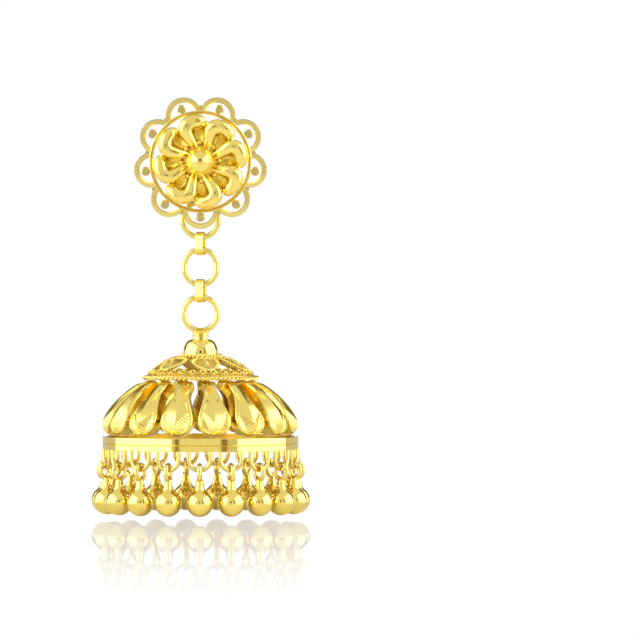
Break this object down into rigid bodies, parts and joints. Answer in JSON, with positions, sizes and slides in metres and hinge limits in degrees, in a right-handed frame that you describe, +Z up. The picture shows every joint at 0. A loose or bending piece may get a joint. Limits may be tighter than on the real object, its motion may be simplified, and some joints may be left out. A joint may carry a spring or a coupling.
{
  "type": "jhumka earring",
  "caption": "Drop earring: pierced rosette stud on a post, short ring chain, and an openwork bell of pear-shaped cups with a fringe of bead drops.",
  "frame": {"origin": "on the ear post's axis in the plane of the rosette's back, where the front of the ear lobe rests", "axes": "+Y along the post from the rosette to its tip, +Z up with the drop hanging below, +X to the right of someone who faces the rosette"},
  "size_m": [0.0198, 0.0292, 0.0378],
  "materials": {
    "gold_polished": "polished 22 carat yellow gold",
    "gold_cut": "diamond-cut 22 carat yellow gold",
    "gold_filigree": "twisted and soldered gold wire, slightly matt in its recesses"
  },
  "bodies": {
    "stud": {"rosette_collar": "gold_cut", "scallop_border": "gold_cut", "swirl_petal_1": "gold_cut", "swirl_petal_2": "gold_cut", "swirl_petal_3": "gold_cut", "swirl_petal_4": "gold_cut", "swirl_petal_5": "gold_cut", "swirl_petal_6": "gold_cut", "swirl_petal_7": "gold_cut", "swirl_petal_8": "gold_cut", "centre_ball": "gold_cut", "ear_post": "gold_polished", "stud_loop": "gold_polished"},
    "chain": {"flat_link_upper": "gold_polished", "chain_ring": "gold_polished", "flat_link_lower": "gold_polished"},
    "drop": {"drop_cap": "gold_polished", "twisted_ring_top": "gold_filigree", "crown": "gold_filigree", "twisted_ring_mid": "gold_filigree", "dome_petal_01": "gold_cut", "dome_petal_02": "gold_cut", "dome_petal_03": "gold_cut", "dome_petal_04": "gold_cut", "dome_petal_05": "gold_cut", "dome_petal_06": "gold_cut", "dome_petal_07": "gold_cut", "dome_petal_08": "gold_cut", "dome_petal_09": "gold_cut", "dome_petal_10": "gold_cut", "dome_petal_11": "gold_cut", "dome_petal_12": "gold_cut", "dome_petal_13": "gold_cut", "dome_petal_14": "gold_cut", "dome_petal_15": "gold_cut", "rim_band": "gold_polished", "bead_drop_01": "gold_polished", "bead_drop_02": "gold_polished", "bead_drop_03": "gold_polished", "bead_drop_04": "gold_polished", "bead_drop_05": "gold_polished", "bead_drop_06": "gold_polished", "bead_drop_07": "gold_polished", "bead_drop_08": "gold_polished", "bead_drop_09": "gold_polished", "bead_drop_10": "gold_polished", "bead_drop_11": "gold_polished", "bead_drop_12": "gold_polished", "bead_drop_13": "gold_polished", "bead_drop_14": "gold_polished", "bead_drop_15": "gold_polished", "bead_drop_16": "gold_polished", "bead_drop_17": "gold_polished", "bead_drop_18": "gold_polished", "bead_drop_19": "gold_polished"}
  },
  "joints": [
    {"name": "chain_swing", "type": "hinge", "parent": "stud", "child": "chain", "pos_m": [0, 0.00026, -0.00691], "axis": [1, 0, 0], "range_deg": [-30, 30]},
    {"name": "drop_swing", "type": "hinge", "parent": "chain", "child": "drop", "pos_m": [0, 0.00026, -0.01384], "axis": [0, 1, 0], "range_deg": [-30, 30]}
  ]
}
